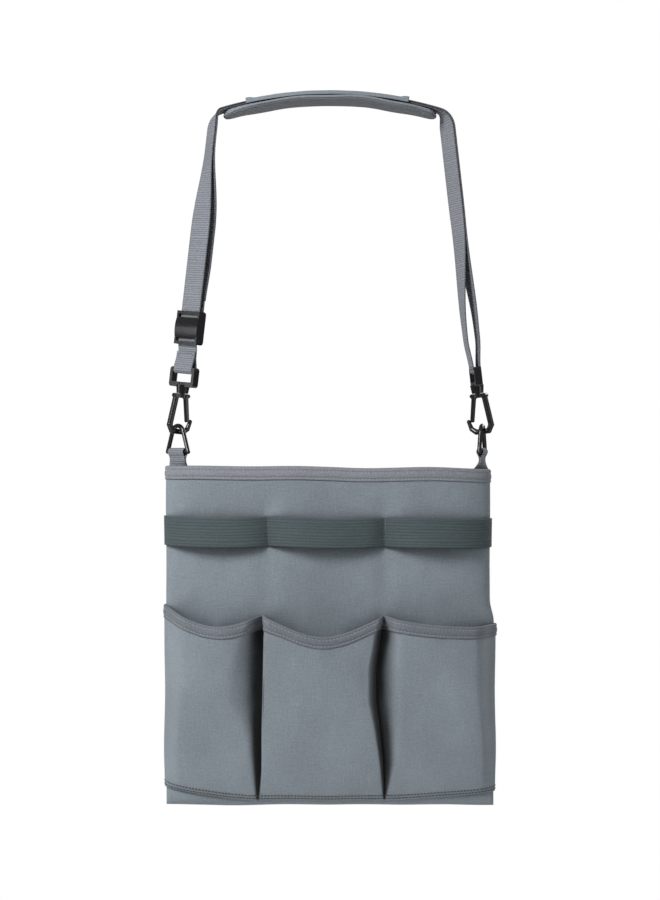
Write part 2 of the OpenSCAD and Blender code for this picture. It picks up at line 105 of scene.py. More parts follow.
class Graph:
    """A small helper that adds shader nodes and links them."""

    def __init__(self, name):
        self.material = bpy.data.materials.new(name)
        self.material.use_nodes = True
        self.tree = self.material.node_tree
        self.shader = self.tree.nodes["Principled BSDF"]

    def add(self, kind, inputs=(), out=0, **settings):
        node = self.tree.nodes.new(kind)
        for key, value in settings.items():
            setattr(node, key, value)
        self.feed(node, dict(inputs))
        return node.outputs[out]

    def feed(self, node, inputs):
        """Links the inputs given as sockets and sets the others."""
        for key, value in inputs.items():
            if isinstance(value, bpy.types.NodeSocket):
                self.tree.links.new(value, node.inputs[key])
            else:
                node.inputs[key].default_value = value

    def weave(self):
        """The cloth's coordinates in metres: both together, across and along."""
        uv = self.add("ShaderNodeUVMap", uv_map=CLOTH_UV)
        u = self.add("ShaderNodeSeparateXYZ", {0: uv}, out=0)
        v = self.add("ShaderNodeSeparateXYZ", {0: uv}, out=1)
        return uv, u, v

    def math(self, operation, a, b=0.0):
        return self.add("ShaderNodeMath", {0: a, 1: b}, operation=operation)

    def mapped(self, value, low, high, to_low=0.0, to_high=1.0):
        return self.add("ShaderNodeMapRange",
                        {0: value, 1: low, 2: high, 3: to_low, 4: to_high})

    def noise(self, vector, scale, detail=2.0, roughness=0.5):
        return self.add("ShaderNodeTexNoise", {"Vector": vector, "Scale": scale,
                                               "Detail": detail, "Roughness": roughness})

    def stretched(self, vector, x, y, z=1.0):
        return self.add("ShaderNodeVectorMath", {0: vector, 1: (x, y, z)}, operation="MULTIPLY")

    def ridges(self, value, pitch, sharp=1.0):
        """Rounded ridges of the given pitch along a coordinate in metres."""
        wave = self.math("SINE", self.math("MULTIPLY", value, math.pi / pitch))
        return self.math("POWER", self.math("ABSOLUTE", wave), sharp)

    def varied(self, shade, noise, spread):
        """A shade times a factor that noise moves within spread of 1."""
        return self.math("MULTIPLY", shade, self.mapped(noise, 0.3, 0.7, 1 - spread, 1 + spread))

    def tinted(self, colour, factor):
        """A colour times a factor that varies over the surface."""
        return self.add("ShaderNodeVectorMath", {0: colour, "Scale": factor}, operation="SCALE")

    def bumped(self, height, distance, strength=1.0, under=None):
        inputs = {"Height": height, "Distance": distance, "Strength": strength}
        if under is not None:
            inputs["Normal"] = under
        return self.add("ShaderNodeBump", inputs)

    def finish(self, colour, roughness, normal, **values):
        """The material, with the shader's other inputs named with underscores."""
        self.feed(self.shader, {"Base Color": colour, "Roughness": roughness, "Normal": normal})
        self.feed(self.shader, {key.replace("_", " "): value for key, value in values.items()})
        return self.material


# How far round a point its cloth looks for a hollow to darken with painted shade, and the heights
# in metres up a cloth between which the powers that deepen that painted shade apply
PAINTED_SHADE_REACH = 36 * MM
PAINTED_SHADE_HEIGHTS = (0.03, 0.15)


def woven(name, colour, pitch, depth, sheen=0.15, painted_shade_darkest=0.20, painted_shade_core=0.30,
          painted_shade_rim=0.80, painted_shade_powers=(1.0, 1.0)):
    """Plain-woven cloth: crossing threads, uneven yarn, slow colour drift and painted hollow shade.

    As painted shade in hollows, the colour falls to the darkest given fraction of itself as open
    air goes from the rim value down to the core value.
    """
    g = Graph(name)
    uv, u, v = g.weave()
    across = g.math("SINE", g.math("MULTIPLY", u, math.pi / pitch))
    along = g.math("SINE", g.math("MULTIPLY", v, math.pi / pitch))
    over = g.math("MULTIPLY", across, along)
    threads = g.math("POWER", g.math("ABSOLUTE", over), 0.55)
    warp = g.noise(g.stretched(uv, 1.0 / pitch, 60.0), 1.0, 1.0)
    weft = g.noise(g.stretched(uv, 60.0, 1.0 / pitch), 1.0, 1.0)
    yarn = g.math("ADD", warp, weft)
    drift = g.noise(uv, 14.0, 3.0)
    heather = g.noise(uv, 520.0, 3.0, 0.7)
    fuzz = g.noise(uv, 900.0, 2.0)
    shade = g.mapped(yarn, 0.6, 1.4, 0.88, 1.12)
    shade = g.varied(shade, drift, 0.07)
    shade = g.varied(shade, heather, 0.15)
    shade = g.math("MULTIPLY", shade, g.mapped(threads, 0.0, 1.0, 0.80, 1.06))
    # Painted shade: ambient occlusion darkens the colour in hollows, by a power that changes with
    # height up the cloth
    open_air = g.add("ShaderNodeAmbientOcclusion", {"Distance": PAINTED_SHADE_REACH}, out=1, samples=8)
    open_air = g.math("POWER", open_air, g.mapped(v, *PAINTED_SHADE_HEIGHTS, *painted_shade_powers))
    hollow = g.mapped(open_air, painted_shade_core, painted_shade_rim, painted_shade_darkest, 1.0)
    shade = g.math("MULTIPLY", shade, hollow)
    height = g.math("ADD", threads, g.math("MULTIPLY", yarn, 0.35))
    height = g.math("ADD", height, g.math("MULTIPLY", fuzz, 0.25))
    soft = g.bumped(g.noise(uv, 55.0, 3.0), 0.5 * MM, 0.35)
    return g.finish(g.tinted(colour, shade), g.mapped(fuzz, 0.2, 0.8, 0.85, 0.95),
                    g.bumped(height, depth, 0.9, soft),
                    Sheen_Weight=sheen, Sheen_Roughness=0.5, Specular_IOR_Level=0.3)


def ribbed(name, colour, along_pitch, across_pitch, depth, mottle, diagonal=0.0, sheen=0.1,
           rib_shade=0.72, edge=None, edge_shade=0.4):
    """Narrow fabric with ribs: along_pitch runs up the length, across_pitch over the width.

    Its selvedges, where edge gives their distance from the middle, darken to edge_shade.
    """
    g = Graph(name)
    uv, u, v = g.weave()
    wander = 0.3 * along_pitch
    uneven = g.mapped(g.noise(g.stretched(uv, 9.0, 160.0), 1.0), 0.3, 0.7, -wander, wander)
    slanted = g.math("ADD", g.math("ADD", v, uneven), g.math("MULTIPLY", u, diagonal))
    ribs = g.ridges(slanted, along_pitch, 0.7)
    cords = g.ridges(u, across_pitch, 0.8)
    fuzz = g.noise(uv, 1100.0, 2.0)
    drift = g.noise(uv, 18.0, 3.0)
    heather = g.noise(uv, 480.0, 3.0, 0.7)
    height = g.math("ADD", g.math("MULTIPLY", ribs, 0.8), g.math("MULTIPLY", cords, 0.45))
    height = g.math("ADD", height, g.math("MULTIPLY", fuzz, 0.2))
    shade = g.mapped(ribs, 0.0, 1.0, rib_shade, 1.07)
    shade = g.math("MULTIPLY", shade, g.mapped(cords, 0.0, 1.0, 0.86, 1.03))
    shade = g.varied(shade, drift, 0.05)
    shade = g.varied(shade, heather, mottle)
    if edge is not None:
        rim = g.mapped(g.math("ABSOLUTE", u), edge - 1.2 * MM, edge, 1.0, edge_shade)
        shade = g.math("MULTIPLY", shade, rim)
    return g.finish(g.tinted(colour, shade), g.mapped(fuzz, 0.2, 0.8, 0.69, 0.81),
                    g.bumped(height, depth, 0.9),
                    Sheen_Weight=sheen, Sheen_Roughness=0.4, Specular_IOR_Level=0.35)


def moulded(name, colour):
    """Glossy injection-moulded plastic with faint flow ripples and handling marks."""
    g = Graph(name)
    place = g.add("ShaderNodeTexCoord", out=3)
    ripple = g.noise(place, 180.0, 2.0)
    marks = g.noise(g.stretched(place, 900.0, 900.0, 240.0), 1.0, 3.0, 0.7)
    rough = g.mapped(marks, 0.35, 0.75, 0.17, 0.30)
    shade = g.mapped(ripple, 0.3, 0.7, 0.85, 1.25)
    return g.finish(g.tinted(colour, shade), rough,
                    g.bumped(marks, 0.01 * MM, 0.3, g.bumped(ripple, 0.08 * MM, 0.4)),
                    Specular_IOR_Level=0.55)


def spun(name, colour):
    """Sewing thread: two plies twisted round each other."""
    g = Graph(name)
    place = g.add("ShaderNodeTexCoord", out=3)
    twist = g.noise(place, 2600.0, 1.0)
    return g.finish(g.tinted(colour, g.mapped(twist, 0.3, 0.7, 0.8, 1.15)), 0.55,
                    g.bumped(twist, 0.05 * MM, 0.8), Sheen_Weight=0.2)


# Colour, pitch of the threads and depth of the canvas, and both pitches and depth of the tapes
CANVAS_WEAVE = ((0.208, 0.243, 0.272), 0.62 * MM, 0.16 * MM)
TAPE_WEAVE = (0.95 * MM, 0.8 * MM, 0.16 * MM)

# Every woven cloth below has painted shade in its hollows
CANVAS = woven("canvas_oxford", *CANVAS_WEAVE)
# The pocket canvas is the canvas again with deeper painted shade in its pleats, deepest low down
SHADED_POCKET_CANVAS = woven("pocket_canvas_painted_shade", *CANVAS_WEAVE, painted_shade_darkest=0.03, painted_shade_core=0.46,
                      painted_shade_rim=0.90, painted_shade_powers=(2.2, 0.7))
LINING = woven("pad_lining_brushed", (0.150, 0.162, 0.178), 0.5 * MM, 0.12 * MM, sheen=0.3)
TAPE = ribbed("binding_tape_twill", (0.205, 0.218, 0.243), *TAPE_WEAVE, mottle=0.2, diagonal=0.9)
# The pocket tape is the mouth's binding tape with its colour darkened as painted shade
SHADED_POCKET_TAPE = ribbed("pocket_tape_twill_painted_shade", (0.140, 0.156, 0.178), *TAPE_WEAVE, mottle=0.2,
                     diagonal=0.9)
WEBBING = ribbed("strap_webbing", (0.200, 0.212, 0.240), 2.1 * MM, 1.05 * MM, 0.4 * MM,
                 mottle=0.18, rib_shade=0.55, edge=WEB_W / 2)
ELASTIC = ribbed("knitted_elastic", (0.054, 0.074, 0.079), 2.9 * MM, 0.75 * MM, 0.3 * MM,
                 mottle=0.16, sheen=0.08)
PLASTIC = moulded("black_plastic", (0.006, 0.006, 0.008))
THREAD = spun("grey_thread", (0.29, 0.30, 0.34))
DARK_THREAD = spun("dark_thread", (0.055, 0.064, 0.072))

# ---------- mesh building ----------


def link(name, verts, faces, uvs, material, body, nodes=()):
    """A mesh object with a UV per vertex, on a body of the frame if one is given."""
    mesh = bpy.data.meshes.new(name)
    mesh.from_pydata([tuple(v) for v in verts], [], faces)
    layer = mesh.uv_layers.new(name=CLOTH_UV)
    for loop in mesh.loops:
        layer.data[loop.index].uv = uvs[loop.vertex_index]
    mesh.shade_smooth()
    mesh.materials.append(material)
    piece = bpy.data.objects.new(name, mesh)
    bpy.context.scene.collection.objects.link(piece)
    if body:
        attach(piece, body)
    if nodes:
        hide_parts(*nodes)
    return piece


def grid_faces(columns, rows, wrap=False):
    """Quads of a grid stored column by column; wrap joins the last row to the first."""
    faces = []
    for i in range(columns - 1):
        here, there = i * rows, (i + 1) * rows
        faces += [(here + j, there + j, there + (j + 1) % rows, here + (j + 1) % rows)
                  for j in range(rows if wrap else rows - 1)]
    return faces


def tube_faces(rings, sides, first=0):
    """Quads round a tube of rings and a cap on each of its ends, from vertex first on."""
    total = rings * sides
    caps = [range(sides), range(total - 1, total - sides - 1, -1)]
    return [tuple(first + k for k in face) for face in grid_faces(rings, sides, wrap=True) + caps]


def run_lengths(points):
    """Distance along a row of points."""
    steps = np.linalg.norm(np.diff(points, axis=0), axis=1)
    return np.concatenate([[0.0], np.cumsum(steps)])


def cloth_uv(points):
    """Metres across and up a grid, measured along its middle row and each column."""
    columns, rows = points.shape[:2]
    u = run_lengths(points[:, rows // 2])
    u = u - u[columns // 2]
    return np.array([[(u[i], v) for v in run_lengths(points[i])] for i in range(columns)])


def cloth(name, points, material, body, nodes=(), thickness=CANVAS_T, levels=1):
    """A sheet of cloth through a grid of points, its face on the grid and its back behind it."""
    piece = link(name, points.reshape(-1, 3), grid_faces(*points.shape[:2]),
                 cloth_uv(points).reshape(-1, 2), material, body, nodes)
    if levels:
        smooth = piece.modifiers.new("smooth", "SUBSURF")
        smooth.levels = levels
        smooth.render_levels = levels
        smooth.boundary_smooth = "PRESERVE_CORNERS"
    thick = piece.modifiers.new("thickness", "SOLIDIFY")
    thick.thickness = thickness
    thick.offset = -1.0
    return piece


def ribbon_section(width):
    """Outline of a flat strap: straight faces and round selvedges, as (across, through)."""
    half, r = width / 2, WEB_T / 2
    face = np.linspace(-half + r, half - r, 6)
    turn = [(math.cos(a), math.sin(a)) for a in (-math.pi / 4, 0.0, math.pi / 4)]
    return ([(x, -r) for x in face] + [(half - r + r * c, r * s) for c, s in turn]
            + [(x, r) for x in face[::-1]] + [(-half + r - r * c, -r * s) for c, s in turn])


def ribbon(name, places, body, nodes, width=WEB_W):
    """Webbing swept through places, each a middle, a width direction and a normal."""
    section = ribbon_section(width)
    verts = [mid + across * x + normal * t for mid, across, normal in places for x, t in section]
    along = run_lengths(np.array([place[0] for place in places]))
    uvs = [(x, v) for v in along for x, _ in section]
    return link(name, verts, tube_faces(len(places), len(section)), uvs, WEBBING, body,
                nodes)


def resampled(points, normals, spacing):
    """Points, tangents and normals at even steps along a path."""
    points, normals = np.array(points), np.array(normals)
    lengths = run_lengths(points)
    at = np.arange(spacing / 2, lengths[-1], spacing)

    def along(values, where):
        return np.array([np.interp(where, lengths, values[:, k]) for k in range(3)]).T

    tangents = along(points, at + spacing / 4) - along(points, at - spacing / 4)
    return along(points, at), tangents, along(normals, at)


STITCH_SIDES = 6
# Rings of a stitch: part of its length, and part of its radius for size and lift off the cloth
STITCH_RINGS = ((-0.5, 0.35, -0.7), (-0.32, 0.9, 0.15), (0.0, 1.0, 0.4), (0.32, 0.9, 0.15),
                (0.5, 0.35, -0.7))


def stitches(name, paths, body, pitch=3.4 * MM, length=2.5 * MM, radius=0.34 * MM,
             thread=THREAD):
    """Rows of stitches: each path is a list of points and one of outward normals."""
    verts, faces = [], []
    for points, normals in paths:
        for mid, ahead, normal in zip(*resampled(points, normals, pitch)):
            t = unit(ahead)
            n = unit(normal - t * np.dot(normal, t))
            b = np.cross(t, n)
            faces += tube_faces(len(STITCH_RINGS), STITCH_SIDES, len(verts))
            for along, size, lift in STITCH_RINGS:
                centre = mid + t * along * length + n * lift * radius
                for k in range(STITCH_SIDES):
                    a = 2 * math.pi * k / STITCH_SIDES
                    verts.append(centre + (n * math.cos(a) + b * math.sin(a)) * radius * size)
    return link(name, verts, faces, [(0.0, 0.0)] * len(verts), thread, body)


# ---------- the bag's shape ----------

SQUARENESS = 3.5
# Depth that the front panel reaches near its bottom seam, within this part of its height
FOOT_D = 9 * MM
FOOT_PART = 0.03
# The cloth above the pockets hangs a little narrower at the right, and its mouth dips there
RIGHT_PULL = 3.8 * MM
MOUTH_TILT = 3.0 * MM
SIDE_SEAM = HALF_W + CANVAS_T + 0.2 * MM
ELASTIC_SEAMS = (-SIDE_SEAM, -59 * MM, 53 * MM, SIDE_SEAM)


def outline(k):
    """Depth of the bag's outline at a part k of its half width."""
    return np.maximum(0.0, 1 - np.minimum(np.abs(k), 1) ** SQUARENESS) ** (1 / SQUARENESS)


def front_depth(z):
    """Depth of the bag's middle at a height: rounded at the foot and open at the mouth."""
    f = np.clip((z - BOTTOM_Z) / BAG_H, 0, 1)
    foot = np.sqrt(np.maximum(0.0, 1 - (1 - np.minimum(f / FOOT_PART, 1)) ** 2))
    return CANVAS_T + FOOT_D * foot + (MOUTH_D - FOOT_D) * f ** 0.8


def ripple(x, z, scale, seed):
    """Smooth unevenness from -1 to 1, the same on every run."""
    return noise.noise(Vector((x * scale, z * scale, seed)))


def front_wrinkle(x, z):
    """Soft hollows and drag lines in the front panel, none at its sides."""
    slow = 3.4 * MM * ripple(x, z * 0.7, 13.0, 3.1)
    drag = 2.8 * MM * ripple(x + 0.5 * z, z * 0.45, 27.0, 8.7)
    fine = 0.5 * MM * ripple(x - 0.3 * z, z * 0.7, 70.0, 15.2)
    height = (z - BOTTOM_Z) / BAG_H
    pulled = sum(-2.6 * MM * math.exp(-((x - seam) / (9 * MM)) ** 2) for seam in ELASTIC_SEAMS[1:3])
    pulled *= float(ease((height - 0.45) / 0.3)) * float(ease((0.97 - height) / 0.1))
    return ((slow + drag + fine + pulled) * float(ease(height / 0.1))
            * float(ease((1.01 - height) / 0.12)))


def pucker(x, seed):
    """Small gathers that a seam draws into the cloth along it."""
    return 0.30 * MM * ripple(x, 0.0, 90.0, seed) + 0.22 * MM * ripple(x, 0.0, 210.0, seed + 4)


def warped(p):
    """Small unevenness that all of the bag's cloth shares, so that its seams stay together."""
    x, y, z = p
    side = (x / HALF_W) ** 3
    height = (z - BOTTOM_Z) / BAG_H
    dx = 1.1 * MM * side * ripple(0.0, z, 17.0, 21.0)
    dx -= RIGHT_PULL * float(ease((height - 0.55) / 0.06)) * float(ease(x / HALF_W))
    dy = 1.3 * MM * ripple(x, z, 9.0, 12.0)
    dz = 1.3 * MM * ripple(x, 0.0, 16.0, 5.0) * (1 - height)
    dz += (1.3 * MM * ripple(x, 0.0, 15.0, 9.0) - MOUTH_TILT * (0.5 + x / HALF_W / 2)) * height ** 2
    return (x + dx, y + dy, z + dz)


def bag_point(k, z, off):
    """Point on the front panel's face at part k of the half width, moved out by off."""
    x = (HALF_W + off) * k
    lift = off + front_wrinkle(x, z)
    return (x, BACK_Y - (front_depth(z) + lift) * float(outline(k)), z)


def front_face_y(x, z, off):
    k = x / (HALF_W + off)
    return bag_point(k, z, off)[1]


def warped_grid(columns):
    return np.array([[warped(p) for p in column] for column in columns])


def side_steps(count):
    """Steps from -1 to 1, closer together at the ends."""
    k = np.linspace(-1, 1, count)
    return np.sign(k) * (1 - (1 - np.abs(k)) ** 1.8)


def build_front_panel():
    heights = np.concatenate([[0.0, 0.004, 0.011, 0.02, 0.032], np.linspace(0.05, 1, 62)])
    zs = BOTTOM_Z + BAG_H * heights
    points = warped_grid([[bag_point(k, z, 0.0) for z in zs] for k in side_steps(91)])
    piece = cloth("front_panel_cloth", points, CANVAS, "bag", ["front_panel"])


def build_back_panel():
    xs = HALF_W * side_steps(61)
    zs = np.linspace(BOTTOM_Z, MOUTH_Z, 61)

    def face(x, z):
        soft = 1.2 * MM * ripple(x, z, 16.0, 40.0) * (1 - abs(x / HALF_W) ** 6)
        return (x, BACK_FACE_Y + soft, z)

    points = warped_grid([[face(x, z) for z in zs] for x in xs[::-1]])
    piece = cloth("back_panel_cloth", points, CANVAS, "bag", ["back_panel"])


# A tape's face from its lower edge to the fold: part of its height and part of its thickness.
# The stitching presses it in at the two points of STITCH_ROWS, near its edges.
TAPE_FACE = ((0.0, 0.8), (0.08, 1.3), (0.16, 1.15), (0.21, 0.15), (0.26, 1.15), (0.4, 1.6),
             (0.6, 1.6), (0.74, 1.2), (0.79, 0.4), (0.84, 1.2), (0.95, 1.3))
STITCH_ROWS = (3, 8)
STITCH_LIFT = 0.15 * MM


def rim_profile():
    """Cross-section of a tape folded over an edge, as (offset out of the cloth's face, height)."""
    r = CANVAS_T / 2 + TAPE_T
    arc = [(-CANVAS_T / 2 + r * math.cos(a), r * math.sin(a)) for a in np.linspace(0, math.pi, 7)]
    face = [(TAPE_T * bump, -TAPE_H * (1 - part)) for part, bump in TAPE_FACE]
    return face + arc + [(-CANVAS_T - o, z) for o, z in face[::-1]]


def build_mouth_binding():
    profile = rim_profile()

    def face(k, o, h):
        gather = pucker(HALF_W * k, 30.0) * (1 if o > 0 else -0.5)
        return bag_point(k, MOUTH_Z + h + 0.5 * gather, o + gather)

    front = [[face(k, o, h) for o, h in profile] for k in side_steps(161)]
    back = []
    for k in np.linspace(1, -1, 60):
        back.append([((HALF_W + (o if abs(k) == 1 else 0)) * k, BACK_FACE_Y + o, MOUTH_Z + h)
                     for o, h in profile])
    points = warped_grid(front + back + [front[0]])
    cloth("mouth_binding_tape", points, TAPE, "bag", ["mouth_binding"],
          thickness=0.7 * MM, levels=0)
    rows = []
    for panel, out, sewn in ((front, -1.0, STITCH_ROWS), (back, 1.0, (-1 - STITCH_ROWS[0],))):
        for row in sewn:
            path = warped_grid([[column[row]] for column in panel])[:, 0]
            path[:, 1] += out * STITCH_LIFT
            rows.append((path, [np.array([0.0, out, 0.0])] * len(path)))
    stitches("mouth_binding_stitches", rows, "bag")


# ---------- elastic loops and pockets ----------

POCKET_SEAMS = (-SIDE_SEAM, -64 * MM, 51 * MM, SIDE_SEAM)
POCKET_FOOT_SEAMS = (-SIDE_SEAM, -69 * MM, 52 * MM, SIDE_SEAM)
ELASTIC_DROP = 46.5 * MM
ELASTIC_H = 28 * MM
ELASTIC_T = 1.4 * MM
ELASTIC_BOW = 12 * MM
POCKET_BULGE = 26 * MM
POCKET_H = 170 * MM
POCKET_T = 1.1 * MM
HEM_ROWS = (0.012, 0.03)
# Heights above the bag's foot of the pockets' mouths, at their seams and at their dips, and of
# the pockets' bottom seam
MOUTH_ENDS = (193 * MM, 185 * MM, 185 * MM, 176 * MM)
MOUTH_DIPS = (176 * MM, 166 * MM, 176.5 * MM)
FOOT_ENDS = (19 * MM, 5.5 * MM, 5.5 * MM, 15 * MM)


def cells(count):
    """Columns across the bag as (cell, part of the cell), denser beside the seams."""
    parts = (1 - np.cos(np.pi * np.arange(count + 1) / count)) / 2
    return [(cell, part) for cell in range(3) for part in parts[(0 if cell == 0 else 1):]]


def seam_x(seams, cell, part):
    return seams[cell] + (seams[cell + 1] - seams[cell]) * part


def lobe(part, power):
    """A hump that is 1 at the middle of a cell and 0 at its ends."""
    return max(0.0, math.sin(math.pi * part)) ** power


def build_elastic():
    top = MOUTH_Z - ELASTIC_DROP
    bottom = top - ELASTIC_H
    columns = []
    for cell, part in cells(26):
        x = seam_x(ELASTIC_SEAMS, cell, part)
        f = lobe(part, 0.8)
        column = []
        for z in np.linspace(bottom, top, 9):
            roll = 0.8 * MM * math.cos(math.pi * (z - bottom) / ELASTIC_H)
            y = front_face_y(x, z, ELASTIC_T + 0.3 * MM) - (ELASTIC_BOW + roll) * f
            column.append((x, y, z - 1.5 * MM * f))
        columns.append(column)
    points = warped_grid(columns)
    piece = cloth("elastic_loops", points, ELASTIC, "bag", ["elastic_band"],
                  thickness=ELASTIC_T)
    tacks = []
    for seam in ELASTIC_SEAMS[1:3]:
        for dx in (-0.7 * MM, 0.7 * MM):
            path = [warped((seam + dx, front_face_y(seam, z, ELASTIC_T + 0.45 * MM), z))
                    for z in np.linspace(bottom + 1 * MM, top - 1 * MM, 12)]
            tacks.append((path, [np.array([0.0, -1.0, 0.0])] * len(path)))
    stitches("elastic_tacks", tacks, "bag", pitch=2.0 * MM, length=1.7 * MM,
             radius=0.3 * MM)


def pocket_mouth_z(cell, part):
    a, b = MOUTH_ENDS[cell], MOUTH_ENDS[cell + 1]
    drop = (a + b) / 2 - MOUTH_DIPS[cell]
    return BOTTOM_Z + a + (b - a) * part - drop * lobe(part, 1.2)


def pocket_foot_z(cell, part):
    a, b = FOOT_ENDS[cell], FOOT_ENDS[cell + 1]
    if cell == 0:
        return BOTTOM_Z + a + (b - a) * part ** 0.6
    if cell == 2:
        return BOTTOM_Z + b + (a - b) * (1 - part) ** 0.6
    return BOTTOM_Z + a


# Reach in mm of each pocket's slopes from its two seams, at parts of its height. A crisp slope
# ends in a folded edge, and a soft one rounds off.
PLEAT_UP = (0.0, 0.2, 0.4, 0.55, 0.73, 0.9, 1.0)
SOFT_SIDE = (3, 10, 16, 19, 21, 22, 22)
SLOPES = (
    ((SOFT_SIDE, False), ((3, 12, 20, 36, 36, 25, 14), False)),
    (((1, 2, 2, 2, 2, 3, 4), True), ((1, 2, 3, 3, 3, 4, 4), True)),
    (((2, 13, 19, 22, 23, 19, 12), False), (SOFT_SIDE, False)),
)
# Sideways reach past their seams of the middle pocket's folded edges, and sideways shift of the
# two seams, which lie partly behind those edges
OVERHANG = ((0, 4, 7, 8.5, 8.5, 5, 0), (0, 1, 2, 4, 4, 2, 0))
SEAM_SHIFT = ((0, 3, 5, 6.5, 6.5, 3, 0), (0, -1, -4, -7.5, -7.5, -3, 0))


def slope(distance, reach, crisp):
    """How far a pleat's side has risen at a distance from its seam."""
    t = min(1.0, distance / reach)
    return t ** 0.8 if crisp else float(ease(t)) ** 0.8


def pleated(cell, part, up, width):
    """Rise of a pocket's face between its two seams, from 0 to 1."""
    (left, left_crisp), (right, right_crisp) = SLOPES[cell]
    left_reach = np.interp(up, PLEAT_UP, left) * MM
    right_reach = np.interp(up, PLEAT_UP, right) * MM
    rise = slope(part * width, left_reach, left_crisp)
    rise *= slope((1 - part) * width, right_reach, right_crisp)
    return rise * (0.86 + 0.14 * lobe(part, 0.7))


def overhang(cell, part, up):
    """Sideways lean of the middle pocket's folded edges."""
    if cell != 1:
        return 0.0
    left, right = (float(np.interp(up, PLEAT_UP, reach)) * MM for reach in OVERHANG)
    near_left, near_right = (math.exp(-((d - 0.05) / 0.09) ** 2) * min(1.0, 40 * d)
                             for d in (part, 1 - part))
    return -right * near_right - left * near_left


def seam_shift(cell, part, up):
    """Sideways shift of the cloth between two seams, from that of the seams themselves."""
    left, right = (float(np.interp(up, PLEAT_UP, shift)) * MM for shift in SEAM_SHIFT)
    ends = (0.0, left, right, 0.0)
    return ends[cell] * (1 - part) + ends[cell + 1] * part


def pocket_point(cell, part, up, lift=0.0):
    """Point on the pocket panel's face: up is 0 at its bottom seam and 1 at its mouth."""
    foot, mouth = pocket_foot_z(cell, part), pocket_mouth_z(cell, part)
    z = foot + (mouth - foot) * up + lift
    x = seam_x(POCKET_FOOT_SEAMS, cell, part) * (1 - up) + seam_x(POCKET_SEAMS, cell, part) * up
    x += seam_shift(cell, part, up)
    rise = pleated(cell, part, up, POCKET_SEAMS[cell + 1] - POCKET_SEAMS[cell])
    gap = 0.3 * MM + TAPE_T * up
    bulge = POCKET_BULGE * up ** 0.55 * rise
    soft = 2.4 * MM * ripple(x * 1.3, z * 0.6, 15.0, 60.0 + 7 * cell)
    soft += 0.8 * MM * ripple(x + 0.6 * z, z * 0.5, 38.0, 81.0 + cell)
    crease = soft * rise * lobe(part, 0.4) * float(ease(up / 0.2))
    near_side = min(1.0, 12 * (1 - abs(x) / SIDE_SEAM))
    y = front_face_y(x, z, CANVAS_T + 0.2 * MM) - (gap + bulge + crease) * near_side
    return (x + overhang(cell, part, up), y, z)


def shifted(points, distance):
    """Moves each row of a grid square to itself seen from above, away from the bag if positive."""
    moved = points.copy()
    for j in range(points.shape[1]):
        row = points[:, j, :2]
        tangent = np.gradient(row, axis=0)
        tangent /= np.linalg.norm(tangent, axis=1)[:, None]
        moved[:, j, 0] += tangent[:, 1] * distance
        moved[:, j, 1] -= tangent[:, 0] * distance
    return moved


def stitch_row(row, lift):
    """A row of stitches along one row of points: its path and its outward normals."""
    path = shifted(row, lift)[:, 0]
    tangent = np.gradient(path, axis=0)
    return path, [unit(np.array([t[1], -t[0], 0.0])) for t in tangent]


def build_pockets():
    layout = cells(44)

    def across(up, lift=0.0):
        return warped_grid([[pocket_point(c, p, up, lift)] for c, p in layout])

    ups = np.concatenate([[0.0, 0.01, 0.025, 0.045, 0.07], np.linspace(0.1, 1, 44)])
    points = np.concatenate([across(up) for up in ups], axis=1)
    piece = cloth("pocket_panel_cloth", points, SHADED_POCKET_CANVAS, "bag", ["pocket_panel"],
                  thickness=POCKET_T)

    gather = np.array([pucker(x, 47.0) for x in points[:, -1, 0]])
    outer, inner = [], []
    for part, bump in TAPE_FACE:
        row = across(1 - TAPE_H / POCKET_H * (1 - part))
        outer.append(shifted(row, TAPE_T * bump + gather))
        inner.append(shifted(row, -POCKET_T - TAPE_T * bump))
    top = across(1, TAPE_T)
    crown = [shifted(top, 0.5 * TAPE_T + gather), shifted(top, -POCKET_T - 0.4 * TAPE_T)]
    tape_points = np.concatenate(outer + crown + inner[::-1], axis=1)
    cloth("pocket_binding_tape", tape_points, SHADED_POCKET_TAPE, "bag", ["pocket_binding"],
          thickness=0.6 * MM)
    stitches("pocket_binding_stitches", [stitch_row(outer[k], STITCH_LIFT) for k in STITCH_ROWS],
             "bag")
    stitches("pocket_hem_stitches", [stitch_row(across(up), 0.1 * MM) for up in HEM_ROWS],
             "bag", pitch=3.2 * MM, thread=DARK_THREAD)


# ---------- strap ----------

# Each side of the strap is a straight limb, whose heights s are measured up from its hook's
# swivel. The limbs lean in toward SHOULDER, and corners join them to the arch over the pad.
SHOULDER = (112 * MM, -14 * MM)
LIMB = np.array([HOOK_X - SHOULDER[0], SHOULDER[1] - HOOK_Z])
LEAN = math.atan2(LIMB[0], LIMB[1])
LIMB_TOP = float(np.linalg.norm(LIMB)) - 9 * MM
PAD_R = 360 * MM
PAD_T = 7.6 * MM
LAYER_GAP = 0.25 * MM
PITCH = WEB_T / 2 + LAYER_GAP
ARCH_R = PAD_R + PAD_T + 2 * PITCH + 0.1 * MM
ARCH_HALF = math.radians(16.3)
# The swivel base's bar, the slider with its rear bar, and the sewn end of the left run
BAR_S = 59.5 * MM
FOLD_R = 2.3 * MM + LAYER_GAP + WEB_T / 2
SLIDER_S = 100 * MM
LOOP_TOP = SLIDER_S + 27 * MM
LOOP_BAR_Y = 3.5 * MM
LOOP_BAR_R = 1.5 * MM
TAIL_S = 77 * MM
# Turns of the webbing about its limb in degrees, and the height and length of the change. The
# left one starts where the slider's travel ends.
LEFT_WEB_TURN = (42, 70, 194 * MM, 80 * MM)
RIGHT_WEB_TURN = (85, 62, 80 * MM, 144 * MM)
BACKWARDS = np.array([0.0, 1.0, 0.0])


def hook_point(side):
    """Middle of a hook's swivel, from which its limb rises."""
    return np.array([side * HOOK_X, 0.0, HOOK_Z])


